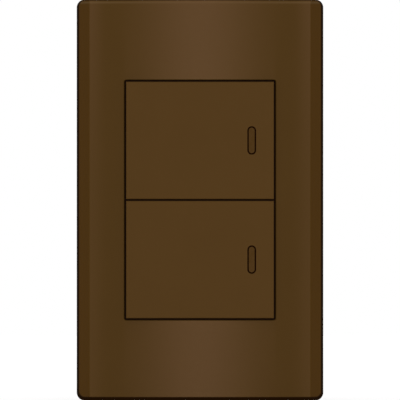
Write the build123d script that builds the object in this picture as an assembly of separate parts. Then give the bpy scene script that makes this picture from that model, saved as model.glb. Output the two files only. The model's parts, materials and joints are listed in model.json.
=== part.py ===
from build123d import *
import os
from math import asin, cos, degrees, radians, sin, tan

# Two-gang rocker light switch: a snap-on cover plate, a mounting frame and two single-pole rocker mechanisms.
# Pieces are drawn lying on their backs, in millimetres: x to the right, y up the wall and z out of the wall,
# with z = 0 at the wall. The last step stands them up, so that Z is up and the keys face -Y.

# Cover plate
PLATE_WIDTH = 73.8
PLATE_HEIGHT = 120.0
PLATE_CORNER_RADIUS = 2.4
PLATE_WALL = 2.0
FACE_RADIUS = 194.0  # crown of the face, from side to side
BAND_RADIUS = 86.0  # hollow sweep that lifts the face again beside each shoulder
BAND_WIDTH = 6.0
BEVEL_WIDTH = 3.75  # steep side band outside the shoulder
RIM_HEIGHT = 2.2  # upright edge between the side band and the wall
SHOULDER_ROUND = 0.4
OUTLINE_CHAMFER = 0.25  # where the face meets the outer edge
OPENING_CORNER_RADIUS = 0.5
OPENING_CHAMFER = 0.2
SKIRT_WALL = 1.5  # wall that runs back from the key opening to the mounting frame
PLATE_RIB = 1.2
SIDE_RIBS = 3
SIDE_RIB_SPACING = 24.0
END_RIBS = 2
END_RIB_SPACING = 18.0
RIB_CLEARANCE = 0.6  # between the plate's ribs and the frame's rim
PRISE_WIDTH = 8.0  # notch in the lower edge for prising the plate off
PRISE_HEIGHT = 1.0

# Snap hooks of the plate and catches of the frame
HOOK_SPACING = 34.0
HOOK_WIDTH = 8.0
HOOK_THICKNESS = 1.5
CATCH_REACH = 0.8
CATCH_THICKNESS = 1.1
HOOK_GAP = 0.2
BARB_HEIGHT = 1.3

# Mounting frame
FRAME_SHEET = 2.0
FRAME_INSET = 7.85  # from the plate's side edge to the frame's
FRAME_RIM = 1.2
FRAME_RIM_WALL = 1.4
FRAME_CORNER_RADIUS = 4.0
BOX_SCREW_SPACING = 83.3
BOX_SLOT_LENGTH = 6.5
BOX_SLOT_WIDTH = 4.2
SLOT_EDGE = 3.0  # from the end of a screw slot to the frame's end

# Keys
KEY_WIDTH = 44.2
KEY_HEIGHT = 35.1
KEY_GAP = 0.5  # dark gap round and between the keys
KEY_WALL = 1.6
KEY_PROUD = 0.3  # key face above the plate's crown
KEY_EDGE_ROUND = 0.3
KEY_DRAFT = 1.5  # degrees
KEY_RIB = 1.0
KEY_RIB_ROOM = 1.5
ROCK_ANGLE = 3.5  # degrees to either side
ROCK_CLEARANCE = 0.4
LUG_RADIUS = 2.3
LUG_THICKNESS = 1.6
LUG_GAP = 0.25
LUG_ROOM = 1.1  # between a pivot lug and the key's skirt
PIN_RADIUS = 1.3
PIN_CLEARANCE = 0.05

# Indicator lens
LENS_INSET = 6.65  # from the key's right edge to the middle of the lens
LENS_SLOT_WIDTH = 2.6
LENS_SLOT_LENGTH = 8.5
LENS_GAP = 0.42
LENS_FLANGE_REACH = 0.85
LENS_FLANGE = 1.0
LENS_SUNK = 0.1

# Mechanism case
MODULE_WALL = 1.5
MODULE_FIT = 0.2  # case in its window of the frame
FLANGE_REACH = 1.4
FLANGE_ROOM = 1.15  # between the case's flange and the key's skirt
FLANGE_THICKNESS = 1.2
DECK_THICKNESS = 1.6
EAR_RADIUS = 2.3
EAR_THICKNESS = 2.2
CLAW_WIDTH = 7.0
CLAW_REACH = 0.9
CLAW_HEIGHT = 2.4
CLAW_GAP = 0.15
SLIT_WIDTH = 0.8
SLIT_DEPTH = 5.0  # from the claw's foot to the slit below it
TONGUE_WIDTH = 9.0
TONGUE_DROP = 5.0
TONGUE_BORDER = 1.4
SNAP_REACH = 1.0
SNAP_FIT = 0.15
BASE_DEPTH = 13.5
BASE_FLOOR = 2.5
BASE_CHAMFER = 0.8
PANEL_WIDTH = 15.0  # bare sunk panel in the rear of the case
PANEL_HEIGHT = 9.0
PANEL_DEPTH = 0.3
GAUGE_LENGTH = 11.0  # groove that shows how far to strip a wire
GAUGE_WIDTH = 1.6
GAUGE_DEPTH = 0.6

# Plunger and spring
PLUNGER_RADIUS = 2.1
PLUNGER_TIP_RADIUS = 0.7
PLUNGER_FIT = 0.08
PLUNGER_REACH = 4.0  # how far it stands out of its sleeve
PLUNGER_GUIDE = 4.0  # how much of it the sleeve holds
SLEEVE_WALL = 1.1
SPRING_WIRE_RADIUS = 0.27
SPRING_RADIUS = 1.6
SPRING_TURNS = 4.5
SPRING_FACETS = 10  # straight lengths of wire in each turn
WIRE_FACETS = 6
SPRING_SEAT = 0.05

# Seesaw contact
SEESAW_DROP = 13.6  # from the key's pivot down to the seesaw's
SEESAW_RATIO = 2.8  # degrees of the seesaw for each degree of the key
BLADE_WIDTH = 6.4
BLADE_SHEET = 1.0
BLADE_END = 0.6  # blade left beyond the contact tip
BLADE_CORNER_RADIUS = 1.2
TRUNNION_RADIUS = 0.45
TRUNNION_CLEARANCE = 0.05
FOOT_REACH = 8.0
TIP_CLEARANCE = 0.1
CONTACT_MARGIN = 0.05  # left between closed contacts
CONTACT_WIDTH = 3.0  # of the welded tips, along the blade
CONTACT_LENGTH = 3.6
CONTACT_HEIGHT = 0.8
CONTACT_DOME_RADIUS = 4.0

# Terminals
TERMINAL_SHEET = 1.2
BEND_RADIUS = 0.5
STRIP_EDGE = 0.7
PRONG_GAP = 0.3
PRONG_WIDTH = 5.0
PRONG_RISE = 1.2  # of the prongs above the seesaw's pivot
POCKET_FIT = 0.2
SCREW_RADIUS = 1.6
SCREW_HEAD_RADIUS = 2.7
SCREW_HEAD = 1.6
SCREW_RECESS = 0.6  # of the screw's head below the side of the case
SCREW_PAST = 1.5
SCREW_SLOT_WIDTH = 0.8
SCREW_SLOT_DEPTH = 0.8
SCREW_FIT = 0.03
CLAMP_SHEET = 1.0
CLAMP_MARGIN = 1.6
WIRE_GAP = 2.4
WIRE_ENTRY_RADIUS = 1.4
WIRE_ROOM = 0.15  # between the wire and the screw

OVERCUT = 1.0  # how far a cut runs past an open face

ROCK = radians(ROCK_ANGLE)
SEESAW_ANGLE = radians(ROCK_ANGLE * SEESAW_RATIO)

# Heights above the wall, from the frame outwards
FRAME_RIM_Z = FRAME_SHEET + FRAME_RIM
DECK_TOP_Z = FRAME_SHEET + FLANGE_THICKNESS
DECK_BOTTOM_Z = DECK_TOP_Z - DECK_THICKNESS
PIVOT_Z = FRAME_SHEET + ROCK_CLEARANCE + LUG_RADIUS
KEY_UNDERSIDE_Z = PIVOT_Z + EAR_RADIUS + ROCK_CLEARANCE
KEY_FACE_Z = KEY_UNDERSIDE_Z + KEY_WALL
CROWN_Z = KEY_FACE_Z - KEY_PROUD

# Sizes that follow in the plane of the wall
KEY_PITCH = KEY_HEIGHT + KEY_GAP
OPENING_WIDTH = KEY_WIDTH + 2 * KEY_GAP
OPENING_HEIGHT = 2 * KEY_HEIGHT + 3 * KEY_GAP
FRAME_WIDTH = PLATE_WIDTH - 2 * FRAME_INSET
FRAME_HEIGHT = BOX_SCREW_SPACING + BOX_SLOT_LENGTH + 2 * SLOT_EDGE
MODULE_WIDTH = KEY_WIDTH - 2 * (KEY_WALL + FLANGE_ROOM + FLANGE_REACH)
MODULE_HEIGHT = KEY_HEIGHT - 2 * (KEY_WALL + LUG_ROOM + LUG_THICKNESS + LUG_GAP)
LUG_INNER_Y = MODULE_HEIGHT / 2 + LUG_GAP
BAND_START_X = PLATE_WIDTH / 2 - BEVEL_WIDTH - BAND_WIDTH
FACE_LEAN = asin(BAND_START_X / FACE_RADIUS)
SHOULDER_LEAN = asin(sin(FACE_LEAN) - BAND_WIDTH / BAND_RADIUS)

# Terminal layers, from the side of the case inwards
CLAMP_OUTER_X = MODULE_WIDTH / 2 - SCREW_RECESS - SCREW_HEAD
CLAMP_INNER_X = CLAMP_OUTER_X - CLAMP_SHEET
LEG_X = CLAMP_INNER_X - WIRE_GAP
LEG_INNER_X = LEG_X - TERMINAL_SHEET
WIRE_X = LEG_X + WIRE_GAP / 2
WIRE_Y = SCREW_RADIUS + WIRE_ENTRY_RADIUS + WIRE_ROOM
CONTACT_REACH = LEG_INNER_X - CONTACT_WIDTH / 2 - STRIP_EDGE
PRONG_OUTER_Y = BLADE_WIDTH / 2 + PRONG_GAP + TERMINAL_SHEET
TERMINAL_WIDTH = 2 * PRONG_OUTER_Y
POCKET_WIDTH = TERMINAL_WIDTH + 2 * POCKET_FIT

# Depths behind the key's pivot
SEESAW_Z = PIVOT_Z - SEESAW_DROP
TIP_Z = SEESAW_Z + BLADE_SHEET / 2 + TIP_CLEARANCE
SLEEVE_BOTTOM_Z = TIP_Z + PLUNGER_REACH
PLUNGER_TOP_Z = SLEEVE_BOTTOM_Z + PLUNGER_GUIDE
DOME_RISE = CONTACT_DOME_RADIUS - CONTACT_HEIGHT - BLADE_SHEET / 2
DOME_MIDDLE_Z = SEESAW_Z - CONTACT_REACH * sin(SEESAW_ANGLE) + DOME_RISE * cos(SEESAW_ANGLE)
DOME_LOW_Z = DOME_MIDDLE_Z - CONTACT_DOME_RADIUS  # lowest point of the moving contact when closed
STRIP_TOP_Z = DOME_LOW_Z - CONTACT_MARGIN - CONTACT_HEIGHT
SPLIT_Z = STRIP_TOP_Z - TERMINAL_SHEET  # where the two halves of the case meet
REAR_Z = SPLIT_Z - BASE_DEPTH
POCKET_FLOOR_Z = REAR_Z + BASE_FLOOR
SCREW_Z = (SPLIT_Z + POCKET_FLOOR_Z) / 2

SLEEVE_BORE_RADIUS = PLUNGER_RADIUS + PLUNGER_FIT
SLEEVE_WIDTH = 2 * (SLEEVE_BORE_RADIUS + SLEEVE_WALL)
LENS_X = KEY_WIDTH / 2 - LENS_INSET
LENS_FLANGE_WIDTH = LENS_SLOT_WIDTH + 2 * LENS_FLANGE_REACH
LENS_FLANGE_LENGTH = LENS_SLOT_LENGTH + 2 * LENS_FLANGE_REACH
KEY_RIB_Y = LENS_FLANGE_LENGTH / 2 + KEY_RIB_ROOM


def across(section, thickness, y=0.0):
    """Solid of a section drawn in x and z, with its thickness along y and its middle at y."""
    return Pos(0, y, 0) * extrude(Plane.XZ * section, thickness / 2, both=True)


def along(section, thickness, x=0.0):
    """Solid of a section drawn in y and z, with its thickness along x and its middle at x."""
    return Pos(x, 0, 0) * extrude(Plane.YZ * section, thickness / 2, both=True)


def upright(outline, low, high):
    """Solid of an outline drawn in x and y, from one height to another."""
    return Pos(0, 0, low) * extrude(outline, high - low)


def block(x, y, z):
    """Box between two limits on each axis."""
    middle = [(low + high) / 2 for low, high in (x, y, z)]
    size = [high - low for low, high in (x, y, z)]
    return Pos(*middle) * Box(*size)


def polygon(*points):
    """Flat face with straight edges through the points."""
    return make_face(Polyline(*points, close=True))


def both_sides(piece):
    """The piece and its mirror image at the other side."""
    return [piece, mirror(piece, Plane.YZ)]


def both_ends(piece):
    """The piece and its mirror image at the other end."""
    return [piece, mirror(piece, Plane.XZ)]


def clear_height(x, floor_z):
    """Lowest height for a point of the key that stays clear of a floor when the key is rocked right over."""
    return PIVOT_Z + (floor_z + ROCK_CLEARANCE - PIVOT_Z + x * sin(ROCK)) / cos(ROCK)


def plate_section(inset):
    """Section of the plate from wall to face, set in all round by a wall."""
    half_width = PLATE_WIDTH / 2 - inset
    lean = degrees(FACE_LEAN)
    turn = degrees(FACE_LEAN - SHOULDER_LEAN)
    hollow_x = (FACE_RADIUS + BAND_RADIUS) * sin(FACE_LEAN)
    hollow_z = CROWN_Z - FACE_RADIUS + (FACE_RADIUS + BAND_RADIUS) * cos(FACE_LEAN)
    face = CenterArc((0, CROWN_Z - FACE_RADIUS), FACE_RADIUS - inset, 90 - lean, 2 * lean)
    right = CenterArc((hollow_x, hollow_z), BAND_RADIUS + inset, 270 - lean, turn)
    left = CenterArc((-hollow_x, hollow_z), BAND_RADIUS + inset, 270 + lean - turn, turn)
    back = Polyline(
        right @ 1,
        (half_width, RIM_HEIGHT),
        (half_width, 0),
        (-half_width, 0),
        (-half_width, RIM_HEIGHT),
        left @ 0,
    )
    return make_face([face, right, left, back])


def plate_body():
    """The plate's outer form, solid: crowned section, rounded corners and a broken outline edge."""
    section = plate_section(0)
    shoulder_x = BAND_START_X + BAND_WIDTH / 2
    shoulders = section.vertices().filter_by(lambda v: abs(v.X) > shoulder_x and v.Y > RIM_HEIGHT)
    body = across(fillet(shoulders, SHOULDER_ROUND), PLATE_HEIGHT)
    body &= upright(RectangleRounded(PLATE_WIDTH, PLATE_HEIGHT, PLATE_CORNER_RADIUS), 0, KEY_FACE_Z)
    inner_x = PLATE_WIDTH / 2 - PLATE_CORNER_RADIUS
    front = body.edges().filter_by(Axis.Z, reverse=True).filter_by(lambda e: e.bounding_box().min.Z > 0)
    lengthwise = front.filter_by(Axis.Y).filter_by(lambda e: abs(e.center().X) < inner_x)
    outline = [edge for edge in front if edge not in lengthwise]
    return chamfer(outline, OUTLINE_CHAMFER)


def snap_hook():
    """One tongue behind the plate's upper end, with a barb that hooks under a catch of the frame."""
    edge_y = FRAME_HEIGHT / 2
    inner_y = edge_y + CATCH_REACH + HOOK_GAP
    outer_y = inner_y + HOOK_THICKNESS
    barb_z = FRAME_RIM_Z - CATCH_THICKNESS - HOOK_GAP
    tip_z = barb_z - BARB_HEIGHT
    section = polygon(
        (inner_y, CROWN_Z),
        (outer_y, CROWN_Z),
        (outer_y, tip_z),
        (inner_y, tip_z),
        (edge_y + HOOK_GAP, barb_z),
        (inner_y, barb_z),
    )
    return along(section, HOOK_WIDTH, HOOK_SPACING / 2)


def plate_ribs():
    """Ribs that tie the opening's skirt to the plate's outer walls."""
    low = FRAME_RIM_Z + RIB_CLEARANCE
    half_width = PLATE_WIDTH / 2 - PLATE_WALL / 2
    half_height = PLATE_HEIGHT / 2 - PLATE_WALL / 2
    side = block((OPENING_WIDTH / 2, half_width), (-PLATE_RIB / 2, PLATE_RIB / 2), (low, CROWN_Z))
    end = block((-PLATE_RIB / 2, PLATE_RIB / 2), (OPENING_HEIGHT / 2, half_height), (low, CROWN_Z))
    ribs = []
    for place in GridLocations(0, SIDE_RIB_SPACING, 1, SIDE_RIBS):
        ribs += both_sides(place * side)
    for place in GridLocations(END_RIB_SPACING, 0, END_RIBS, 1):
        ribs += both_ends(place * end)
    return ribs


def cover_plate():
    """Moulded shell with the key opening, its skirt, ribs, four snap hooks and a notch to prise it off."""
    body = plate_body()
    inside = across(plate_section(PLATE_WALL), PLATE_HEIGHT - 2 * PLATE_WALL)
    skirt_outline = Rectangle(OPENING_WIDTH + 2 * SKIRT_WALL, OPENING_HEIGHT + 2 * SKIRT_WALL)
    skirt = upright(skirt_outline, FRAME_SHEET, KEY_FACE_Z)
    hooks = [hook for pair in both_sides(snap_hook()) for hook in both_ends(pair)]
    opening = RectangleRounded(OPENING_WIDTH, OPENING_HEIGHT, OPENING_CORNER_RADIUS)
    notch = block(
        (-PRISE_WIDTH / 2, PRISE_WIDTH / 2),
        (-PLATE_HEIGHT / 2 - OVERCUT, -PLATE_HEIGHT / 2 + PLATE_WALL + OVERCUT),
        (-OVERCUT, PRISE_HEIGHT),
    )
    plate = body - inside
    for inner in [skirt, *plate_ribs(), *hooks]:
        plate += inner & body
    plate -= upright(opening, 0, KEY_FACE_Z)
    half_width = OPENING_WIDTH / 2 + SKIRT_WALL / 2
    half_height = OPENING_HEIGHT / 2 + SKIRT_WALL / 2
    brim = plate.edges().filter_by(Axis.Z, reverse=True)
    brim = brim.filter_by_position(Axis.X, -half_width, half_width)
    brim = brim.filter_by_position(Axis.Y, -half_height, half_height)
    brim = brim.filter_by_position(Axis.Z, FRAME_RIM_Z, KEY_FACE_Z)
    return chamfer(brim, OPENING_CHAMFER) - notch


def mounting_frame():
    """Moulded frame with two module windows, two screw slots, a stiffening rim and four catches."""
    outline = RectangleRounded(FRAME_WIDTH, FRAME_HEIGHT, FRAME_CORNER_RADIUS)
    inner = RectangleRounded(
        FRAME_WIDTH - 2 * FRAME_RIM_WALL,
        FRAME_HEIGHT - 2 * FRAME_RIM_WALL,
        FRAME_CORNER_RADIUS - FRAME_RIM_WALL,
    )
    window = Rectangle(MODULE_WIDTH + 2 * MODULE_FIT, MODULE_HEIGHT + 2 * MODULE_FIT)
    slot = SlotOverall(BOX_SLOT_LENGTH, BOX_SLOT_WIDTH, rotation=90)
    sheet = outline - GridLocations(0, KEY_PITCH, 1, 2) * window
    sheet -= GridLocations(0, BOX_SCREW_SPACING, 1, 2) * slot
    frame = upright(sheet, 0, FRAME_SHEET) + upright(outline - inner, FRAME_SHEET, FRAME_RIM_Z)
    catch = block(
        (HOOK_SPACING / 2 - HOOK_WIDTH / 2, HOOK_SPACING / 2 + HOOK_WIDTH / 2),
        (FRAME_HEIGHT / 2 - FRAME_RIM_WALL, FRAME_HEIGHT / 2 + CATCH_REACH),
        (FRAME_RIM_Z - CATCH_THICKNESS, FRAME_RIM_Z),
    )
    for side in both_sides(catch):
        for end in both_ends(side):
            frame += end
    return frame


def drafted(width, skirt_z):
    """Section of the key's block, as wide as the face at the front and narrower by its draft at the skirt."""
    front = width / 2
    back = front - (KEY_FACE_Z - skirt_z) * tan(radians(KEY_DRAFT))
    return polygon((-front, KEY_FACE_Z), (front, KEY_FACE_Z), (back, skirt_z), (-back, skirt_z))


def key():
    """Wide rocker key: drafted shell with ribs, pivot lugs, the plunger's sleeve and the lens slot."""
    skirt_z = clear_height(KEY_WIDTH / 2, FRAME_SHEET)
    rib_z = clear_height(KEY_WIDTH / 2, DECK_TOP_Z)
    inner_width = KEY_WIDTH - 2 * KEY_WALL
    inner_height = KEY_HEIGHT - 2 * KEY_WALL
    body = across(drafted(KEY_WIDTH, skirt_z), KEY_HEIGHT) & along(drafted(KEY_HEIGHT, skirt_z), KEY_WIDTH)
    body = fillet(body.faces().sort_by(Axis.Z)[-1].edges(), KEY_EDGE_ROUND)
    body -= upright(Rectangle(inner_width, inner_height), skirt_z - OVERCUT, KEY_UNDERSIDE_Z)
    rib_end = inner_width / 2 + KEY_WALL / 4
    rib = block((-rib_end, rib_end), (KEY_RIB_Y - KEY_RIB, KEY_RIB_Y), (rib_z, KEY_UNDERSIDE_Z))
    web = block((-KEY_RIB / 2, KEY_RIB / 2), (SLEEVE_BORE_RADIUS, KEY_RIB_Y), (rib_z, KEY_UNDERSIDE_Z))
    lug = Pos(0, PIVOT_Z) * Circle(LUG_RADIUS)
    lug += Pos(0, (PIVOT_Z + KEY_UNDERSIDE_Z) / 2) * Rectangle(2 * LUG_RADIUS, KEY_UNDERSIDE_Z - PIVOT_Z)
    lug -= Pos(0, PIVOT_Z) * Circle(PIN_RADIUS + PIN_CLEARANCE)
    for inner in (rib, web, across(lug, LUG_THICKNESS, LUG_INNER_Y + LUG_THICKNESS / 2)):
        for end in both_ends(inner):
            body += end
    body += upright(Rectangle(SLEEVE_WIDTH, SLEEVE_WIDTH), SLEEVE_BOTTOM_Z, KEY_UNDERSIDE_Z)
    body -= upright(Circle(SLEEVE_BORE_RADIUS), SLEEVE_BOTTOM_Z - OVERCUT, KEY_UNDERSIDE_Z)
    slot = Pos(LENS_X, 0) * SlotOverall(LENS_SLOT_LENGTH, LENS_SLOT_WIDTH, rotation=90)
    return body - upright(slot, KEY_UNDERSIDE_Z, KEY_FACE_Z)


def indicator_lens():
    """Obround window that fills the key's slot from behind and sits on its flange."""
    window = SlotOverall(LENS_SLOT_LENGTH - 2 * LENS_GAP, LENS_SLOT_WIDTH - 2 * LENS_GAP, rotation=90)
    flange = Rectangle(LENS_FLANGE_WIDTH, LENS_FLANGE_LENGTH)
    light = upright(window, KEY_UNDERSIDE_Z - LENS_FLANGE, KEY_FACE_Z - LENS_SUNK)
    return Pos(LENS_X, 0, 0) * (light + upright(flange, KEY_UNDERSIDE_Z - LENS_FLANGE, KEY_UNDERSIDE_Z))


def claw():
    """Barb at the right side of the case that snaps behind the mounting frame."""
    wall_x = MODULE_WIDTH / 2
    section = polygon(
        (wall_x - MODULE_WALL / 2, -CLAW_GAP),
        (wall_x + CLAW_REACH, -CLAW_GAP),
        (wall_x, -CLAW_GAP - CLAW_HEIGHT),
        (wall_x - MODULE_WALL / 2, -CLAW_GAP - CLAW_HEIGHT),
    )
    return across(section, CLAW_WIDTH)


def claw_slit():
    """Slit round three sides of a claw that lets it spring inwards."""
    wall = (MODULE_WIDTH / 2 - MODULE_WALL - OVERCUT, MODULE_WIDTH / 2 + OVERCUT)
    low = -CLAW_GAP - CLAW_HEIGHT - SLIT_DEPTH
    outside = CLAW_WIDTH / 2 + SLIT_WIDTH
    slit = block(wall, (-outside, outside), (low - SLIT_WIDTH, 0))
    return slit - block(wall, (-CLAW_WIDTH / 2, CLAW_WIDTH / 2), (low, 0))


def pivot_ear():
    """Ear at the upper end of the case's deck, with the pin that the key rocks on."""
    outer_y = MODULE_HEIGHT / 2
    ear = Pos(0, PIVOT_Z) * Circle(EAR_RADIUS)
    ear += Pos(0, (PIVOT_Z + DECK_BOTTOM_Z) / 2) * Rectangle(2 * EAR_RADIUS, PIVOT_Z - DECK_BOTTOM_Z)
    pin_length = LUG_GAP + LUG_THICKNESS
    pin = across(Pos(0, PIVOT_Z) * Circle(PIN_RADIUS), pin_length, outer_y + pin_length / 2)
    return across(ear, EAR_THICKNESS, outer_y - EAR_THICKNESS / 2) + pin


def snap_tongue():
    """Tongue at the upper end of the front case, with the window that catches the rear case."""
    low = SPLIT_Z - TONGUE_DROP
    wall = (MODULE_HEIGHT / 2 - MODULE_WALL, MODULE_HEIGHT / 2)
    tongue = block((-TONGUE_WIDTH / 2, TONGUE_WIDTH / 2), wall, (low, SPLIT_Z))
    window_x = TONGUE_WIDTH / 2 - TONGUE_BORDER
    return tongue - block((-window_x, window_x), wall, (low + TONGUE_BORDER, SPLIT_Z - TONGUE_BORDER))


def housing():
    """Front half of the mechanism case: flange, walls, claws, pivot ears, snap tongues and sleeve window."""
    outline = Rectangle(MODULE_WIDTH, MODULE_HEIGHT)
    flange = Rectangle(MODULE_WIDTH + 2 * FLANGE_REACH, MODULE_HEIGHT)
    inside = Rectangle(MODULE_WIDTH - 2 * MODULE_WALL, MODULE_HEIGHT - 2 * MODULE_WALL)
    case = upright(outline, SPLIT_Z, FRAME_SHEET) + upright(flange, FRAME_SHEET, DECK_TOP_Z)
    case -= upright(inside, SPLIT_Z - OVERCUT, DECK_BOTTOM_Z)
    swing = (PIVOT_Z - DECK_BOTTOM_Z) * sin(ROCK)
    window = Rectangle(SLEEVE_WIDTH + 2 * (swing + ROCK_CLEARANCE), SLEEVE_WIDTH + 2 * ROCK_CLEARANCE)
    for side in both_sides(claw_slit()):
        case -= side
    for side in both_sides(claw()):
        case += side
    for end in both_ends(pivot_ear()) + both_ends(snap_tongue()):
        case += end
    return case - upright(window, DECK_BOTTOM_Z - OVERCUT, DECK_TOP_Z + OVERCUT)


def snap_bump():
    """Wedge at the upper end of the rear case that springs into the tongue's window."""
    floor_y = MODULE_HEIGHT / 2 - MODULE_WALL - SNAP_FIT
    high = SPLIT_Z - TONGUE_BORDER - SNAP_FIT
    low = SPLIT_Z - TONGUE_DROP + TONGUE_BORDER + SNAP_FIT
    section = polygon(
        (floor_y - SNAP_REACH, high),
        (floor_y, high),
        (floor_y + SNAP_REACH, low),
        (floor_y - SNAP_REACH, low),
    )
    return along(section, TONGUE_WIDTH - 2 * TONGUE_BORDER - 2 * SNAP_FIT)


def terminal_pocket():
    """Space at the right of the rear case for a terminal leg and clamp, with a groove for the screw end."""
    pocket = block(
        (LEG_INNER_X, MODULE_WIDTH / 2 + OVERCUT),
        (-POCKET_WIDTH / 2, POCKET_WIDTH / 2),
        (POCKET_FLOOR_Z, SPLIT_Z + OVERCUT),
    )
    groove = block(
        (LEG_INNER_X - SCREW_PAST - POCKET_FIT, LEG_INNER_X),
        (-SCREW_RADIUS - POCKET_FIT, SCREW_RADIUS + POCKET_FIT),
        (SCREW_Z - SCREW_RADIUS - POCKET_FIT, SPLIT_Z + OVERCUT),
    )
    return pocket + groove


def terminal_base():
    """Rear half of the mechanism case: terminal pockets, wire entries, snap bumps and a strip gauge."""
    base = upright(Rectangle(MODULE_WIDTH, MODULE_HEIGHT), REAR_Z, SPLIT_Z)
    base = chamfer(base.faces().sort_by(Axis.Z)[0].edges(), BASE_CHAMFER)
    for side in both_sides(terminal_pocket()):
        base -= side
    recess = block(
        (-TONGUE_WIDTH / 2 - SNAP_FIT, TONGUE_WIDTH / 2 + SNAP_FIT),
        (MODULE_HEIGHT / 2 - MODULE_WALL - SNAP_FIT, MODULE_HEIGHT / 2 + OVERCUT),
        (SPLIT_Z - TONGUE_DROP - SNAP_FIT, SPLIT_Z + OVERCUT),
    )
    for end in both_ends(recess):
        base -= end
    for end in both_ends(snap_bump()):
        base += end
    brow_round = BEND_RADIUS + POCKET_FIT
    front = base.edges().filter_by(Axis.Y)
    front = front.filter_by_position(Axis.Z, SPLIT_Z - brow_round, SPLIT_Z + brow_round)
    brows = [edge for edge in front if abs(abs(edge.center().X) - LEG_INNER_X) < brow_round]
    base = fillet(brows, brow_round)
    gauge_y = (PANEL_HEIGHT + MODULE_HEIGHT) / 4  # halfway from the panel to the end of the case
    base -= upright(Rectangle(PANEL_WIDTH, PANEL_HEIGHT), REAR_Z - OVERCUT, REAR_Z + PANEL_DEPTH)
    gauge = Pos(0, -gauge_y) * Rectangle(GAUGE_LENGTH, GAUGE_WIDTH)
    base -= upright(gauge, REAR_Z - OVERCUT, REAR_Z + GAUGE_DEPTH)
    entry = Pos(WIRE_X, WIRE_Y) * Circle(WIRE_ENTRY_RADIUS)
    for side in both_sides(upright(entry, REAR_Z - OVERCUT, POCKET_FLOOR_Z + OVERCUT)):
        base -= side
    return base


def bent_strip(inner_x):
    """Strip at the right that lies on the rear case and turns down into a clamp leg with a threaded hole."""
    section = polygon(
        (inner_x, STRIP_TOP_Z),
        (LEG_X, STRIP_TOP_Z),
        (LEG_X, POCKET_FLOOR_Z),
        (LEG_INNER_X, POCKET_FLOOR_Z),
        (LEG_INNER_X, SPLIT_Z),
        (inner_x, SPLIT_Z),
    )
    outer = section.vertices().sort_by_distance((LEG_X, STRIP_TOP_Z))[0]
    section = fillet(outer, BEND_RADIUS + TERMINAL_SHEET)
    inner = section.vertices().sort_by_distance((LEG_INNER_X, SPLIT_Z))[0]
    strip = across(fillet(inner, BEND_RADIUS), TERMINAL_WIDTH)
    hole = Circle(SCREW_RADIUS + SCREW_FIT)
    return strip - Pos(LEG_X, 0, SCREW_Z) * Rot(0, -90, 0) * upright(hole, -OVERCUT, TERMINAL_SHEET + OVERCUT)


def common_terminal():
    """Right-hand terminal, whose strip carries the seesaw between two notched prongs."""
    prong_z = SEESAW_Z + PRONG_RISE
    notch_radius = TRUNNION_RADIUS + TRUNNION_CLEARANCE
    prong = Pos(0, (SPLIT_Z + prong_z) / 2) * Rectangle(PRONG_WIDTH, prong_z - SPLIT_Z)
    prong -= Pos(0, SEESAW_Z) * Circle(notch_radius)
    prong -= Pos(0, SEESAW_Z + PRONG_RISE) * Rectangle(2 * notch_radius, 2 * PRONG_RISE)
    strip = bent_strip(-PRONG_WIDTH / 2)
    for end in both_ends(across(prong, TERMINAL_SHEET, PRONG_OUTER_Y - TERMINAL_SHEET / 2)):
        strip += end
    return strip


def load_terminal():
    """Left-hand terminal, whose strip carries the fixed contact."""
    return mirror(bent_strip(CONTACT_REACH - CONTACT_WIDTH / 2 - STRIP_EDGE), Plane.YZ)


def fixed_contact_tip():
    """Flat contact tip welded on the load strip."""
    tip = upright(Rectangle(CONTACT_WIDTH, CONTACT_LENGTH), STRIP_TOP_Z, STRIP_TOP_Z + CONTACT_HEIGHT)
    return Pos(-CONTACT_REACH, 0, 0) * tip


def moving_contact():
    """Seesaw blade with trunnions at its middle, the contact at its left and a bent foot at its right."""
    low = SEESAW_Z - BLADE_SHEET / 2
    high = SEESAW_Z + BLADE_SHEET / 2
    left_x = -CONTACT_REACH - CONTACT_WIDTH / 2 - BLADE_END
    drop = SEESAW_Z - STRIP_TOP_Z - TIP_CLEARANCE - FOOT_REACH * sin(SEESAW_ANGLE)
    foot_z = SEESAW_Z - drop / cos(SEESAW_ANGLE)
    section = polygon(
        (left_x, high),
        (FOOT_REACH, high),
        (FOOT_REACH, foot_z),
        (FOOT_REACH - BLADE_SHEET, foot_z),
        (FOOT_REACH - BLADE_SHEET, low),
        (left_x, low),
    )
    outer = section.vertices().sort_by_distance((FOOT_REACH, high))[0]
    blade = across(fillet(outer, BLADE_SHEET), BLADE_WIDTH)
    corners = blade.edges().filter_by(Axis.Z).sort_by(Axis.X)[:2]
    blade = fillet(corners, BLADE_CORNER_RADIUS)
    side_y = BLADE_WIDTH / 2
    trunnion = Pos(0, SEESAW_Z) * Circle(TRUNNION_RADIUS)
    for end in both_ends(across(trunnion, PRONG_OUTER_Y - side_y, (PRONG_OUTER_Y + side_y) / 2)):
        blade += end
    return blade


def moving_contact_tip():
    """Contact tip welded under the blade, with a domed face."""
    top_z = SEESAW_Z - BLADE_SHEET / 2
    section = Pos(-CONTACT_REACH, top_z - CONTACT_HEIGHT / 2) * Rectangle(CONTACT_WIDTH, CONTACT_HEIGHT)
    section &= Pos(-CONTACT_REACH, SEESAW_Z + DOME_RISE) * Circle(CONTACT_DOME_RADIUS)
    return across(section, CONTACT_LENGTH)


def plunger():
    """Sprung pin with a tapered nose that slides in the key's sleeve and tips the seesaw."""
    outline = polygon(
        (0, TIP_Z),
        (PLUNGER_TIP_RADIUS, TIP_Z),
        (PLUNGER_RADIUS, TIP_Z + PLUNGER_RADIUS - PLUNGER_TIP_RADIUS),
        (PLUNGER_RADIUS, PLUNGER_TOP_Z),
        (0, PLUNGER_TOP_Z),
    )
    return revolve(Plane.XZ * outline, Axis.Z)


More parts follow.
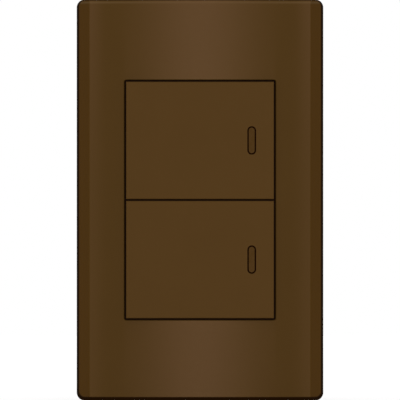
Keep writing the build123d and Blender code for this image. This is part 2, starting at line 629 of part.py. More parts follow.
def plunger_spring():
    """Coil spring between the plunger's end and the key, wound in short straight lengths."""
    low = PLUNGER_TOP_Z + SPRING_WIRE_RADIUS + SPRING_SEAT
    height = KEY_UNDERSIDE_Z - SPRING_WIRE_RADIUS - SPRING_SEAT - low
    coil = Helix(height / SPRING_TURNS, height, SPRING_RADIUS)
    lengths = round(SPRING_TURNS * SPRING_FACETS)
    path = Polyline(*[coil @ (corner / lengths) for corner in range(lengths + 1)])
    wire = Plane(path @ 0, z_dir=path % 0) * RegularPolygon(SPRING_WIRE_RADIUS, WIRE_FACETS)
    return Pos(0, 0, low) * sweep(wire, path=path, transition=Transition.RIGHT)


def terminal_screw():
    """Slotted pan-head screw at the right, through the clamp and the terminal's leg."""
    length = CLAMP_OUTER_X - LEG_INNER_X + SCREW_PAST
    head = upright(Circle(SCREW_HEAD_RADIUS), 0, SCREW_HEAD)
    slot_half = SCREW_SLOT_WIDTH / 2
    across_head = (-SCREW_HEAD_RADIUS, SCREW_HEAD_RADIUS)
    head -= block((-slot_half, slot_half), across_head, (SCREW_HEAD - SCREW_SLOT_DEPTH, SCREW_HEAD))
    screw = head + upright(Circle(SCREW_RADIUS), -length, 0)
    return Pos(CLAMP_OUTER_X, 0, SCREW_Z) * Rot(0, 90, 0) * screw


def terminal_clamp():
    """Clamp plate under the screw's head at the right."""
    height = SPLIT_Z - POCKET_FLOOR_Z - 2 * CLAMP_MARGIN
    plate = Rectangle(height, TERMINAL_WIDTH) - Circle(SCREW_RADIUS + POCKET_FIT)
    return Pos(CLAMP_OUTER_X, 0, SCREW_Z) * Rot(0, 90, 0) * upright(plate, -CLAMP_SHEET, 0)


def save(name, *solids):
    """Stand solids up on the wall and write them as one node."""
    stood = [Rot(90, 0, 0) * solid for solid in solids]
    shape = stood[0] if len(stood) == 1 else Compound(children=stood)
    export_step(shape, f"parts/{name}.step")


os.makedirs("parts", exist_ok=True)
save("cover_plate", cover_plate())
save("mounting_frame", mounting_frame())
MECHANISM = {
    "key": [key()],
    "indicator_lens": [indicator_lens()],
    "housing": [housing()],
    "terminal_base": [terminal_base()],
    "plunger": [plunger()],
    "plunger_spring": [plunger_spring()],
    "moving_contact": [moving_contact()],
    "moving_contact_tip": [moving_contact_tip()],
    "common_terminal": [common_terminal()],
    "load_terminal": [load_terminal()],
    "fixed_contact_tip": [fixed_contact_tip()],
    "terminal_screws": both_sides(terminal_screw()),
    "terminal_clamps": both_sides(terminal_clamp()),
}
for gang, middle_y in (("upper", KEY_PITCH / 2), ("lower", -KEY_PITCH / 2)):
    for piece, solids in MECHANISM.items():
        save(f"{gang}_{piece}", *[Pos(0, middle_y, 0) * solid for solid in solids])
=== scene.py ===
"""Looks of a two-gang rocker light switch: its finishes, springs, clamp screws, studio and camera."""

from __future__ import annotations

import json
import logging
import math
from dataclasses import dataclass, field
from enum import Enum

import bmesh
import bpy
from bmesh.types import BMEdge, BMesh, BMFace, BMVert
from bpy.types import NodeSocket
from mathutils import Matrix, Vector

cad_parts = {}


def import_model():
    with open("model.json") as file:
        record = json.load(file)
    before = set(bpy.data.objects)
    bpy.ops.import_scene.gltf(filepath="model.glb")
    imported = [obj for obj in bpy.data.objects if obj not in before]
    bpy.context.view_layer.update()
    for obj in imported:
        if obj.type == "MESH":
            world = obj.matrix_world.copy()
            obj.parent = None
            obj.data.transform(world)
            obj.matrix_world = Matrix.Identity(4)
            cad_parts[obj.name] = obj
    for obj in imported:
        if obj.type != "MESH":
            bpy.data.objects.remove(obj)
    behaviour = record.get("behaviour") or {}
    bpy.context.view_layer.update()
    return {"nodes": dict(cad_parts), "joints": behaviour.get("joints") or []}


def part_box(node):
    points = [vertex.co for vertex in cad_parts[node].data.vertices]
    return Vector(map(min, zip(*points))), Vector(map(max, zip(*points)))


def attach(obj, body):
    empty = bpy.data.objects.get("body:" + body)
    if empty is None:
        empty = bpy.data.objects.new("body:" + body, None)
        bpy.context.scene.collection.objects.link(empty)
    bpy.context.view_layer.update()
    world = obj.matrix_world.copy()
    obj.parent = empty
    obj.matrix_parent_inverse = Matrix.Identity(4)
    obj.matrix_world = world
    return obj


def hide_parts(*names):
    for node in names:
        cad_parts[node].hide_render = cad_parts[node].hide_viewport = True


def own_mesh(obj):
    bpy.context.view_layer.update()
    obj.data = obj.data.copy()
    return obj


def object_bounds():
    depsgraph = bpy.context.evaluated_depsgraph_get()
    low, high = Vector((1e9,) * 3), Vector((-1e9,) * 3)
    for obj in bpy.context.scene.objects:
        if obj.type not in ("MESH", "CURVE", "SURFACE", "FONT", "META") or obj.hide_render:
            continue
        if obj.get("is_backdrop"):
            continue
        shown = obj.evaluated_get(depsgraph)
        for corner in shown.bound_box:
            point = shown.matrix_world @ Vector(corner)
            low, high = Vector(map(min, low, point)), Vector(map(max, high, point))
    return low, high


LOG = logging.getLogger("two_gang_switch")

Colour = tuple[float, float, float]
Point = tuple[float, float, float]
Span = tuple[float, float]
Surface = tuple[NodeSocket, NodeSocket]  # colour and roughness

SHARP_ANGLE = math.radians(34)
QUARTER_TURN = math.pi / 2
FULL_TURN = 2 * math.pi
TOLERANCE = 1e-7
MATRIX_SIZE = 4
ROUND_PROFILE = 0.5
SAME_MATERIAL = -1
OPAQUE = 1.0
WHITE: Colour = (1.0, 1.0, 1.0)
UNIT: Span = (0.0, 1.0)
ORIGIN: Point = (0.0, 0.0, 0.0)
X_AXIS: Point = (1.0, 0.0, 0.0)
Y_AXIS: Point = (0.0, 1.0, 0.0)
Z_AXIS: Point = (0.0, 0.0, 1.0)


class Gang(Enum):
    """The two switches, one above the other."""

    UPPER = "upper"
    LOWER = "lower"

    def node(self, piece: str) -> str:
        """Name of one of this gang's pieces, bodies or joints."""
        return f"{self.value}_{piece}"


class Side(Enum):
    """The two sides of a switch or of a driver slot, along X."""

    LEFT = -1
    RIGHT = 1


class Axis(Enum):
    """The three axes, by letter."""

    X = "X"
    Y = "Y"
    Z = "Z"


class Join(Enum):
    """What two values make together."""

    HIGHER = "MAXIMUM"
    LOWER = "MINIMUM"
    PRODUCT = "MULTIPLY"


class Step(Enum):
    """Steps of vector arithmetic in a finish."""

    ABSOLUTE = "ABSOLUTE"
    SUBTRACT = "SUBTRACT"
    MAXIMUM = "MAXIMUM"
    LENGTH = "LENGTH"


class Kind(Enum):
    """Kinds of socket on a shader group."""

    VALUE = "NodeSocketFloat"
    VECTOR = "NodeSocketVector"


@dataclass
class Graph:
    """A node tree under construction.

    Attributes:
        tree: The tree that the nodes go into.
    """

    tree: bpy.types.NodeTree

    def node(self, kind: str, **settings: object) -> bpy.types.Node:
        """Add a node.

        Args:
            kind: Name of the node's type.
            **settings: Properties of the node.

        Returns:
            The new node.
        """
        made = self.tree.nodes.new(kind)
        for name, value in settings.items():
            setattr(made, name, value)
        return made

    def link(self, source: NodeSocket, target: NodeSocket) -> None:
        """Join an output to an input."""
        self.tree.links.new(source, target)

    def noise(self, vector: NodeSocket, detail: float) -> bpy.types.Node:
        """Add a noise texture.

        Args:
            vector: Where the texture is read.
            detail: Octaves of finer noise.

        Returns:
            The texture node.
        """
        made = self.node("ShaderNodeTexNoise")
        made.inputs["Detail"].default_value = detail
        self.link(vector, made.inputs["Vector"])
        return made

    def spread(self, value: NodeSocket, start: Span, end: Span) -> NodeSocket:
        """Stretch a value from one range to another.

        Args:
            value: The value to stretch.
            start: The range that it comes in.
            end: The range that it goes out in.

        Returns:
            The stretched value.
        """
        made = self.node("ShaderNodeMapRange")
        made.inputs["From Min"].default_value = start[0]
        made.inputs["From Max"].default_value = start[1]
        made.inputs["To Min"].default_value = end[0]
        made.inputs["To Max"].default_value = end[1]
        self.link(value, made.inputs["Value"])
        return made.outputs["Result"]

    def mix(self, share: NodeSocket, base: Colour | NodeSocket, top: Colour) -> NodeSocket:
        """Lay a colour over another colour or over a pattern.

        Args:
            share: How much of the top colour shows.
            base: Colour where the share is 0.
            top: Colour where the share is 1.

        Returns:
            The mixed colour.
        """
        made = self.node("ShaderNodeMix", data_type="RGBA")
        under, over = [socket for socket in made.inputs if socket.type == "RGBA"]
        if isinstance(base, NodeSocket):
            self.link(base, under)
        else:
            under.default_value = (*base, OPAQUE)
        over.default_value = (*top, OPAQUE)
        self.link(share, made.inputs[0])
        return next(socket for socket in made.outputs if socket.type == "RGBA")

    def join(self, way: Join, first: NodeSocket, second: NodeSocket) -> NodeSocket:
        """Make one value of two.

        Args:
            way: What they make together.
            first: One value.
            second: The other.

        Returns:
            The joined value.
        """
        made = self.node("ShaderNodeMath", operation=way.value)
        self.link(first, made.inputs[0])
        self.link(second, made.inputs[1])
        return made.outputs[0]

    def axis(self, vector: NodeSocket, axis: Axis) -> NodeSocket:
        """Take one coordinate out of a vector.

        Args:
            vector: The vector.
            axis: Which coordinate.

        Returns:
            That coordinate.
        """
        made = self.node("ShaderNodeSeparateXYZ")
        self.link(vector, made.inputs[0])
        return made.outputs[axis.value]

    def vector(self, step: Step, value: NodeSocket, other: Point = ORIGIN) -> NodeSocket:
        """Add a step of vector arithmetic.

        Args:
            step: What is done.
            value: The vector that it is done to.
            other: A fixed second vector.

        Returns:
            The length for that step, and the new vector for the others.
        """
        made = self.node("ShaderNodeVectorMath", operation=step.value)
        self.link(value, made.inputs[0])
        made.inputs[1].default_value = other
        return made.outputs["Value" if step is Step.LENGTH else "Vector"]

    def seen_directly(self) -> NodeSocket:
        """Mask of the rays that show the background.

        Returns:
            1 for camera, glossy and transmission rays and 0 for the rest.
        """
        path = self.node("ShaderNodeLightPath").outputs
        shown = self.join(Join.HIGHER, path["Is Camera Ray"], path["Is Glossy Ray"])
        return self.join(Join.HIGHER, shown, path["Is Transmission Ray"])


@dataclass(frozen=True)
class SurfaceGroup:
    """A shader group that several finishes share.

    Attributes:
        name: Name of the group.
        stretch: Share of its true scale that the fine pattern keeps on each axis.
        fine_detail: Octaves of the fine pattern.
        broad_detail: Octaves of the broad pattern.
    """

    name: str
    stretch: Point
    fine_detail: float
    broad_detail: float

    def tree(self) -> bpy.types.NodeTree:
        """The group's tree, which is built once.

        Returns:
            A tree that takes Vector, Fine Scale and Broad Scale and puts out Fine and Broad.
        """
        built = bpy.data.node_groups.get(self.name)
        if built:
            return built
        built = bpy.data.node_groups.new(self.name, "ShaderNodeTree")
        built.interface.new_socket("Vector", in_out="INPUT", socket_type=Kind.VECTOR.value)
        for label in ("Fine Scale", "Broad Scale"):
            built.interface.new_socket(label, in_out="INPUT", socket_type=Kind.VALUE.value)
        for label in ("Fine", "Broad"):
            built.interface.new_socket(label, in_out="OUTPUT", socket_type=Kind.VALUE.value)
        graph = Graph(built)
        entry = graph.node("NodeGroupInput")
        leave = graph.node("NodeGroupOutput")
        mapping = graph.node("ShaderNodeMapping")
        mapping.inputs["Scale"].default_value = self.stretch
        graph.link(entry.outputs["Vector"], mapping.inputs["Vector"])
        fine = graph.noise(mapping.outputs["Vector"], self.fine_detail)
        broad = graph.noise(entry.outputs["Vector"], self.broad_detail)
        graph.link(entry.outputs["Fine Scale"], fine.inputs["Scale"])
        graph.link(entry.outputs["Broad Scale"], broad.inputs["Scale"])
        graph.link(fine.outputs[0], leave.inputs["Fine"])
        graph.link(broad.outputs[0], leave.inputs["Broad"])
        return built


MOULDED_GRAIN = SurfaceGroup(
    name="moulded_grain",
    stretch=(1.0, 1.0, 1.0),
    fine_detail=3.0,
    broad_detail=2.0,
)
ROLLED_SHEET = SurfaceGroup(
    name="rolled_sheet",
    stretch=(0.05, 1.0, 1.0),
    fine_detail=4.0,
    broad_detail=3.0,
)
NOISE_RANGE: Span = (0.3, 0.7)  # where most of a noise texture's values lie


@dataclass(frozen=True)
class Finish:
    """Finish of a surface, with two shades, a range of gloss and a fine relief.

    Attributes:
        name: Name of the material.
        group: Shader group that gives the patterns.
        shade: Main colour.
        patch: Colour of the faint broad patches.
        roughness: Lowest and highest roughness.
        fine_scale: Features of the fine relief in a metre.
        broad_scale: Patches in a metre.
        depth: Depth of the fine relief in metres.
        metallic: 1 for metal and 0 for plastic.
        specular: Strength of the plain reflection.
        tint: Colour of the plain reflection.
    """

    name: str
    group: SurfaceGroup
    shade: Colour
    patch: Colour
    roughness: Span
    fine_scale: float
    broad_scale: float
    depth: float
    metallic: float = 0.0
    specular: float = 0.5
    tint: Colour = WHITE

    def material(self) -> bpy.types.Material:
        """The finish as a material, which is built once.

        Returns:
            A material that reads Object coordinates.
        """
        built = bpy.data.materials.get(self.name)
        if built:
            return built
        built = bpy.data.materials.new(self.name)
        built.use_nodes = True
        graph = Graph(built.node_tree)
        shader = built.node_tree.nodes["Principled BSDF"]
        shader.inputs["Metallic"].default_value = self.metallic
        shader.inputs["Specular IOR Level"].default_value = self.specular
        shader.inputs["Specular Tint"].default_value = (*self.tint, OPAQUE)
        place = graph.node("ShaderNodeTexCoord").outputs["Object"]
        pattern = graph.node("ShaderNodeGroup", node_tree=self.group.tree())
        pattern.inputs["Fine Scale"].default_value = self.fine_scale
        pattern.inputs["Broad Scale"].default_value = self.broad_scale
        graph.link(place, pattern.inputs["Vector"])
        share = graph.spread(pattern.outputs["Broad"], NOISE_RANGE, UNIT)
        colour = graph.mix(share, self.shade, self.patch)
        gloss = graph.spread(pattern.outputs["Fine"], NOISE_RANGE, self.roughness)
        colour, gloss = self.paint_shading(graph, place, (colour, gloss))
        graph.link(colour, shader.inputs["Base Color"])
        graph.link(gloss, shader.inputs["Roughness"])
        relief = graph.node("ShaderNodeBump")
        relief.inputs["Distance"].default_value = self.depth
        graph.link(pattern.outputs["Fine"], relief.inputs["Height"])
        graph.link(relief.outputs["Normal"], shader.inputs["Normal"])
        return built

    def paint_shading(self, graph: Graph, place: NodeSocket, surface: Surface) -> Surface:
        """Paint highlights and shade onto the surface in places; a plain finish leaves it as it is."""
        return surface


@dataclass(frozen=True)
class PlateFinish(Finish):
    """Finish of the cover plate: painted highlight strips, painted shade on the side bands, a painted
    highlight below the top edge and a dull painted shade along the edge.

    Attributes:
        node: Name of the plate.
        highlight_place: Where a painted highlight strip beside the crease starts and is lightest, in
            from the plate's side.
        highlight_fall: Height where a strip has faded out, and height where it is full, so the painted
            highlight is brightest at the top.
        highlight_colour: Colour of the painted highlight strips.
        band: Width of a steep side band.
        band_painted_shade: Colour of the painted shade on the side bands.
        top_highlight_place: Middle of the painted highlight line below the top edge, down from it, and
            half the line's width.
        top_highlight_share: Share of it that shows at the middle of the plate and at its sides.
        top_highlight_colour: Colour of the painted highlight line.
        corner: Radius of the plate's corners.
        line: Width of the painted shade line at the sides.
        sag: How much wider the painted shade line is below, and narrower above.
        fade: Half the width over which the edge of a band or of the line fades.
        facing: Y of the normal where the line fades out and is full; the side walls have none of it.
        painted_edge_shade: Colour of the painted shade line.
        dull: Roughness of the line.
    """

    node: str = "cover_plate"
    # rub, highlight_fall and highlight_colour paint a highlight strip beside each crease, brightest at
    # the top.
    highlight_place: Span = (0.0084, 0.0045)
    highlight_fall: Span = (0.010, 0.060)
    highlight_colour: Colour = (0.0580, 0.0290, 0.0070)
    # band_painted_shade paints shade on the steep side bands.
    band: float = 0.00375
    band_painted_shade: Colour = (0.0562, 0.0241, 0.0012)
    # wear, top_highlight_share and top_highlight_colour paint a highlight just below the top edge.
    top_highlight_place: Span = (0.00095, 0.0005)
    top_highlight_share: Span = (0.4, 1.0)
    top_highlight_colour: Colour = (0.0830, 0.0480, 0.0165)
    corner: float = 0.0024
    # line, sag, facing and grime paint shade along the plate's front edge, wider below.
    line: float = 0.00074
    sag: float = 0.00040
    fade: float = 0.00016
    facing: Span = (-0.1, -0.25)
    painted_edge_shade: Colour = (0.0085, 0.0030, 0.0003)
    dull: float = 0.95

    def paint_shading(self, graph: Graph, place: NodeSocket, surface: Surface) -> Surface:
        """Paint highlights on the strips beside the creases and below the top edge, and paint shade on
        the side bands and along the plate's edge.

        Args:
            graph: The material's tree.
            place: Object coordinates.
            surface: Colour with its patches, and roughness with its grain.

        Returns:
            The surface with its painted highlights and painted shade.
        """
        colour, gloss = surface
        across = graph.axis(graph.vector(Step.ABSOLUTE, place), Axis.X)
        height = graph.axis(place, Axis.Z)
        line = self.edge_line(graph, place)
        layers = (
            (self.highlight_strips(graph, across, height), self.highlight_colour),
            (self.side_bands(graph, across), self.band_painted_shade),
            (self.top_highlight_mask(graph, across, height), self.top_highlight_colour),
            (line, self.painted_edge_shade),
        )
        for share, shade in layers:
            colour = graph.mix(share, colour, shade)
        return colour, graph.join(Join.HIGHER, gloss, graph.spread(line, UNIT, (0.0, self.dull)))

    def highlight_strips(self, graph: Graph, across: NodeSocket, height: NodeSocket) -> NodeSocket:
        """Mask of the painted highlight strips beside the creases.

        Args:
            graph: The material's tree.
            across: Distance from the middle of the plate.
            height: Height on the plate.

        Returns:
            1 at the top of the creases, falling to 0 inwards and downwards.
        """
        _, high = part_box(self.node)
        strip = (high.x - self.highlight_place[0], high.x - self.highlight_place[1])
        fall = graph.spread(height, self.highlight_fall, UNIT)
        return graph.join(Join.PRODUCT, graph.spread(across, strip, UNIT), fall)

    def side_bands(self, graph: Graph, across: NodeSocket) -> NodeSocket:
        """Mask of the steep side bands, which is 1 on them and 0 elsewhere."""
        _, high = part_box(self.node)
        return graph.spread(across, self.faded(high.x - self.band), UNIT)

    def top_highlight_mask(self, graph: Graph, across: NodeSocket, height: NodeSocket) -> NodeSocket:
        """Mask of the painted highlight line below the plate's top edge.

        Args:
            graph: The material's tree.
            across: Distance from the middle of the plate.
            height: Height on the plate.

        Returns:
            The share that shows on the line, and 0 elsewhere.
        """
        _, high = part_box(self.node)
        drop, half = self.top_highlight_place
        middle = high.z - drop
        above = graph.spread(height, (middle + half, middle), UNIT)
        below = graph.spread(height, (middle - half, middle), UNIT)
        outward = graph.spread(across, (0.0, high.x), self.top_highlight_share)
        return graph.join(Join.PRODUCT, graph.join(Join.LOWER, above, below), outward)

    def edge_line(self, graph: Graph, place: NodeSocket) -> NodeSocket:
        """Mask of the painted shade line along the plate's edge.

        Args:
            graph: The material's tree.
            place: Object coordinates.

        Returns:
            1 on the line and 0 elsewhere.
        """
        low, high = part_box(self.node)
        whole_depth = high.y - low.y
        inner = (high.x - self.corner, whole_depth, high.z - self.corner)
        lowered = graph.vector(Step.SUBTRACT, place, (0.0, 0.0, self.sag))
        folded = graph.vector(Step.ABSOLUTE, lowered)
        outside = graph.vector(Step.MAXIMUM, graph.vector(Step.SUBTRACT, folded, inner))
        reach = graph.vector(Step.LENGTH, outside)
        edge = graph.spread(reach, self.faded(self.corner - self.line), UNIT)
        normal = graph.axis(graph.node("ShaderNodeTexCoord").outputs["Normal"], Axis.Y)
        return graph.join(Join.LOWER, edge, graph.spread(normal, self.facing, UNIT))

    def faded(self, middle: float) -> Span:
        """Span over which an edge fades."""
        return middle - self.fade, middle + self.fade


@dataclass(frozen=True, kw_only=True)
class GapShadedFinish(Finish):
    """Finish of a moulding that has painted shade, nearly black and dull, where it lies in a gap.

    Attributes:
        node: Name of a piece with this finish.
        painted_shade_span: Where the painted shade starts and is darkest, behind the front of that
            piece.
        painted_gap_shade: Colour of the painted shade.
        dull: Roughness where the painted shade lies.
    """

    node: str
    painted_shade_span: Span
    # deep is painted shade, laid on the parts that lie in the gaps.
    painted_gap_shade: Colour = (0.0085, 0.0010, 0.0002)
    dull: float = 1.0

    def paint_shading(self, graph: Graph, place: NodeSocket, surface: Surface) -> Surface:
        """Paint shade on the part that lies in the gap.

        Args:
            graph: The material's tree.
            place: Object coordinates.
            surface: Colour with its patches, and roughness with its grain.

        Returns:
            The surface with its painted shade.
        """
        colour, gloss = surface
        front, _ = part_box(self.node)
        span = (front.y + self.painted_shade_span[0], front.y + self.painted_shade_span[1])
        depth = graph.axis(place, Axis.Y)
        colour = graph.mix(graph.spread(depth, span, UNIT), colour, self.painted_gap_shade)
        return colour, graph.join(Join.HIGHER, gloss, graph.spread(depth, span, (0.0, self.dull)))


WARM_SHEEN: Colour = (1.0, 0.57, 0.37)

PLATE_BROWN = PlateFinish(
    name="plate_brown_satin",
    group=MOULDED_GRAIN,
    shade=(0.0505, 0.0251, 0.0040),
    patch=(0.0522, 0.0260, 0.0043),
    roughness=(0.33, 0.37),
    fine_scale=4200.0,
    broad_scale=60.0,
    depth=4e-6,
    specular=0.073,
    tint=WARM_SHEEN,
)
KEY_BROWN = Finish(
    name="key_brown_matt",
    group=MOULDED_GRAIN,
    shade=(0.0602, 0.0300, 0.0064),
    patch=(0.0624, 0.0312, 0.0068),
    roughness=(0.54, 0.62),
    fine_scale=4200.0,
    broad_scale=70.0,
    depth=1.1e-5,
    specular=0.10,
    tint=WARM_SHEEN,
)
# The lens's sides below its face get painted shade, so a dark ring shows round it.
LENS_BROWN = GapShadedFinish(
    name="lens_brown_smoked",
    group=MOULDED_GRAIN,
    shade=(0.0470, 0.0225, 0.0036),
    patch=(0.0520, 0.0255, 0.0056),
    roughness=(0.46, 0.54),
    fine_scale=900.0,
    broad_scale=300.0,
    depth=1e-6,
    specular=0.06,
    tint=WARM_SHEEN,
    node=Gang.UPPER.node("indicator_lens"),
    painted_shade_span=(0.00013, 0.0005),
)
# The frame's front, seen through the gaps, gets painted shade.
FRAME_CHARCOAL = GapShadedFinish(
    name="frame_charcoal_plastic",
    group=MOULDED_GRAIN,
    shade=(0.0260, 0.0205, 0.0170),
    patch=(0.0310, 0.0250, 0.0210),
    roughness=(0.50, 0.62),
    fine_scale=2600.0,
    broad_scale=80.0,
    depth=6e-6,
    specular=0.2,
    node="mounting_frame",
    painted_shade_span=(0.0027, 0.0017),
)
# The housing's front, seen through the gaps, gets painted shade.
HOUSING_CHARCOAL = GapShadedFinish(
    name="housing_charcoal_plastic",
    group=MOULDED_GRAIN,
    shade=(0.0330, 0.0310, 0.0290),
    patch=(0.0390, 0.0370, 0.0350),
    roughness=(0.46, 0.56),
    fine_scale=3000.0,
    broad_scale=110.0,
    depth=5e-6,
    specular=0.25,
    node=Gang.UPPER.node("housing"),
    painted_shade_span=(0.0070, 0.0060),
)
BASE_GREY = Finish(
    name="base_grey_thermoset",
    group=MOULDED_GRAIN,
    shade=(0.4450, 0.4400, 0.4200),
    patch=(0.4600, 0.4550, 0.4350),
    roughness=(0.48, 0.60),
    fine_scale=2400.0,
    broad_scale=160.0,
    depth=1.6e-5,
    specular=0.4,
)
PLUNGER_IVORY = Finish(
    name="plunger_ivory_nylon",
    group=MOULDED_GRAIN,
    shade=(0.6000, 0.5300, 0.3900),
    patch=(0.6500, 0.5850, 0.4500),
    roughness=(0.34, 0.44),
    fine_scale=2600.0,
    broad_scale=240.0,
    depth=3e-6,
)
SPRING_STEEL = Finish(
    name="spring_steel_wire",
    group=ROLLED_SHEET,
    shade=(0.4700, 0.4650, 0.4550),
    patch=(0.5600, 0.5550, 0.5450),
    roughness=(0.22, 0.34),
    fine_scale=9000.0,
    broad_scale=500.0,
    depth=1e-6,
    metallic=1.0,
)
CONTACT_BRASS = Finish(
    name="contact_brass_sheet",
    group=ROLLED_SHEET,
    shade=(0.5200, 0.3300, 0.1050),
    patch=(0.5700, 0.3750, 0.1350),
    roughness=(0.30, 0.38),
    fine_scale=7000.0,
    broad_scale=260.0,
    depth=6e-7,
    metallic=1.0,
)
CONTACT_SILVER = Finish(
    name="contact_silver_tip",
    group=ROLLED_SHEET,
    shade=(0.7400, 0.7300, 0.6950),
    patch=(0.8400, 0.8350, 0.8150),
    roughness=(0.24, 0.36),
    fine_scale=8000.0,
    broad_scale=600.0,
    depth=2e-6,
    metallic=1.0,
)
ZINC_PLATE = Finish(
    name="zinc_plated_steel",
    group=ROLLED_SHEET,
    shade=(0.3400, 0.3450, 0.3500),
    patch=(0.4100, 0.4100, 0.4000),
    roughness=(0.28, 0.40),
    fine_scale=6000.0,
    broad_scale=420.0,
    depth=8e-7,
    metallic=1.0,
)


def linked_object(name: str, mesh: BMesh, material: bpy.types.Material) -> bpy.types.Object:
    """Turn a bmesh into an object of the scene, at the origin.

    Args:
        name: Name of the object.
        mesh: The shape, in the row frame; it is freed here.
        material: Material of the whole object.

    Returns:
        The new object.
    """
    data = bpy.data.meshes.new(name)
    mesh.to_mesh(data)
    mesh.free()
    data.materials.append(material)
    made = bpy.data.objects.new(name, data)
    bpy.context.scene.collection.objects.link(made)
    return made


def finished_object(name: str, mesh: BMesh, finish: Finish) -> bpy.types.Object:
    """Turn a bmesh into a piece that is smooth between its sharp edges.

    Args:
        name: Name of the piece.
        mesh: The shape, in the row frame; it is freed here.
        finish: Finish of the whole piece.

    Returns:
        The new piece.
    """
    bmesh.ops.remove_doubles(mesh, verts=mesh.verts[:], dist=TOLERANCE)
    bmesh.ops.recalc_face_normals(mesh, faces=mesh.faces[:])
    for face in mesh.faces:
        face.smooth = True
    for edge in mesh.edges:
        edge.smooth = edge.calc_face_angle(0.0) < SHARP_ANGLE
    return linked_object(name, mesh, finish.material())


def extrude_up(mesh: BMesh, face: BMFace, rise: float) -> BMFace:
    """Extrude a face along Z.

    Args:
        mesh: Where it is added.
        face: The face, which stays.
        rise: How far it is extruded.

    Returns:
        The new face at the far end.
    """
    grown = bmesh.ops.extrude_face_region(mesh, geom=[face], use_keep_orig=True)["geom"]
    end = next(item for item in grown if isinstance(item, BMFace))
    bmesh.ops.translate(mesh, verts=end.verts[:], vec=(0.0, 0.0, rise))
    return end


def split_faces(mesh: BMesh, faces: list[BMFace], point: Point, normal: Point) -> None:
    """Split some faces along a plane.

    Args:
        mesh: The shape.
        faces: The faces to split.
        point: A point on the plane.
        normal: The plane's normal.
    """
    edges = dict.fromkeys(edge for face in faces for edge in face.edges)
    verts = dict.fromkeys(vert for face in faces for vert in face.verts)
    geometry = [*verts, *edges, *faces]
    bmesh.ops.bisect_plane(mesh, geom=geometry, dist=TOLERANCE, plane_co=point, plane_no=normal)


def on_plane(vert: BMVert, point: Point, normal: Point) -> bool:
    """Tell whether a vertex lies on the plane through a point."""
    return abs((vert.co - Vector(point)).dot(Vector(normal))) < TOLERANCE


@dataclass
class SubAssembly:
    """Pieces that are fitted together.

    Attributes:
        finishes: Finish of each node that keeps the form of its solid.
    """

    finishes: dict[str, Finish] = field(default_factory=dict, init=False)

    def dress(self, nodes: dict[str, bpy.types.Object]) -> None:
        """Give each node its finish.

        Args:
            nodes: The model's nodes by name.
        """
        for name, finish in self.finishes.items():
            for slot in nodes[name].material_slots:
                slot.material = finish.material()
            LOG.info("%s: %s", name, finish.name)

    def build(self) -> None:
        """Add the pieces that replace nodes; most sub-assemblies have none."""


@dataclass
class Cover(SubAssembly):
    """The snap-on plate and the frame behind it."""

    def __post_init__(self) -> None:
        """Set the finish of the plate and the frame."""
        self.finishes = {finish.node: finish for finish in (PLATE_BROWN, FRAME_CHARCOAL)}


@dataclass
class Rocker(SubAssembly):
    """A key with its lens, plunger and coil spring.

    Attributes:
        gang: The gang that it belongs to.
        travel: How far the plunger can be pushed in; not used.
        wire_radius: Radius of the spring's wire.
        coil_radius: Radius of the coil, at the middle of its wire.
        end_clearance: Room left at each end of the spring; not used.
        open_turns: Turns between the spring's two closed ends.
        closed_turns: Turns of each closed end.
        closed_pitch: Pitch of a closed end, in wire diameters.
        wire_sides: Sides of the wire's section.
        turn_steps: Steps in one turn of the coil.
    """

    gang: Gang
    travel: float
    wire_radius: float = 0.00027
    coil_radius: float = 0.0016
    end_clearance: float = 0.00005
    open_turns: float = 3.0
    closed_turns: float = 0.75
    closed_pitch: float = 1.06
    wire_sides: int = 12
    turn_steps: int = 32

    def __post_init__(self) -> None:
        """Set the finish of the nodes that keep their form."""
        self.finishes = {
            self.gang.node("key"): KEY_BROWN,
            self.gang.node("indicator_lens"): LENS_BROWN,
            self.gang.node("plunger"): PLUNGER_IVORY,
        }

    def build(self) -> None:
        """Wind the round-wire spring that replaces the faceted one."""
        node = self.gang.node("plunger_spring")
        low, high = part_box(node)
        plunger_low, plunger_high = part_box(self.gang.node("plunger"))
        middle = (plunger_low + plunger_high) / 2
        mesh = self.coil(low.y + self.wire_radius, high.y - self.wire_radius)
        bmesh.ops.translate(mesh, verts=mesh.verts[:], vec=(middle.x, 0.0, middle.z))
        spring = finished_object(self.gang.node("coil_spring"), mesh, SPRING_STEEL)
        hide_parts(node)
        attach(spring, self.gang.node("rocker"))
        self.gang.node("plunger_slide")
        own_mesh(spring)
        LOG.info("%s replaces %s", spring.name, node)

    def coil(self, start: float, end: float) -> BMesh:
        """Sweep the wire round the Y axis, wound close at either end.

        Args:
            start: Where the wire's middle starts along Y.
            end: Where it ends.

        Returns:
            The wire as a closed shape about the Y axis.
        """
        mesh = bmesh.new()
        bmesh.ops.create_circle(mesh, cap_ends=True, radius=self.wire_radius, segments=self.wire_sides)
        bmesh.ops.translate(mesh, verts=mesh.verts[:], vec=(self.coil_radius, start, 0.0))
        closed_rise = self.closed_turns * self.closed_pitch * 2 * self.wire_radius
        open_rise = end - start - 2 * closed_rise
        stages = (
            (self.closed_turns, closed_rise),
            (self.open_turns, open_rise),
            (self.closed_turns, closed_rise),
        )
        section = mesh.verts[:] + mesh.edges[:] + mesh.faces[:]
        for turns, rise in stages:
            steps = round(turns * self.turn_steps)
            swept = bmesh.ops.spin(
                mesh,
                geom=section,
                axis=Y_AXIS,
                cent=ORIGIN,
                dvec=(0.0, rise / steps, 0.0),
                angle=turns * FULL_TURN,
                steps=steps,
            )
            section = swept["geom_last"]
        return mesh


@dataclass
class SwitchCase(SubAssembly):
    """The two halves of a mechanism's case.

    Attributes:
        gang: The gang that it belongs to.
    """

    gang: Gang

    def __post_init__(self) -> None:
        """Set the finish of both halves."""
        self.finishes = {
            self.gang.node("housing"): HOUSING_CHARCOAL,
            self.gang.node("terminal_base"): BASE_GREY,
        }


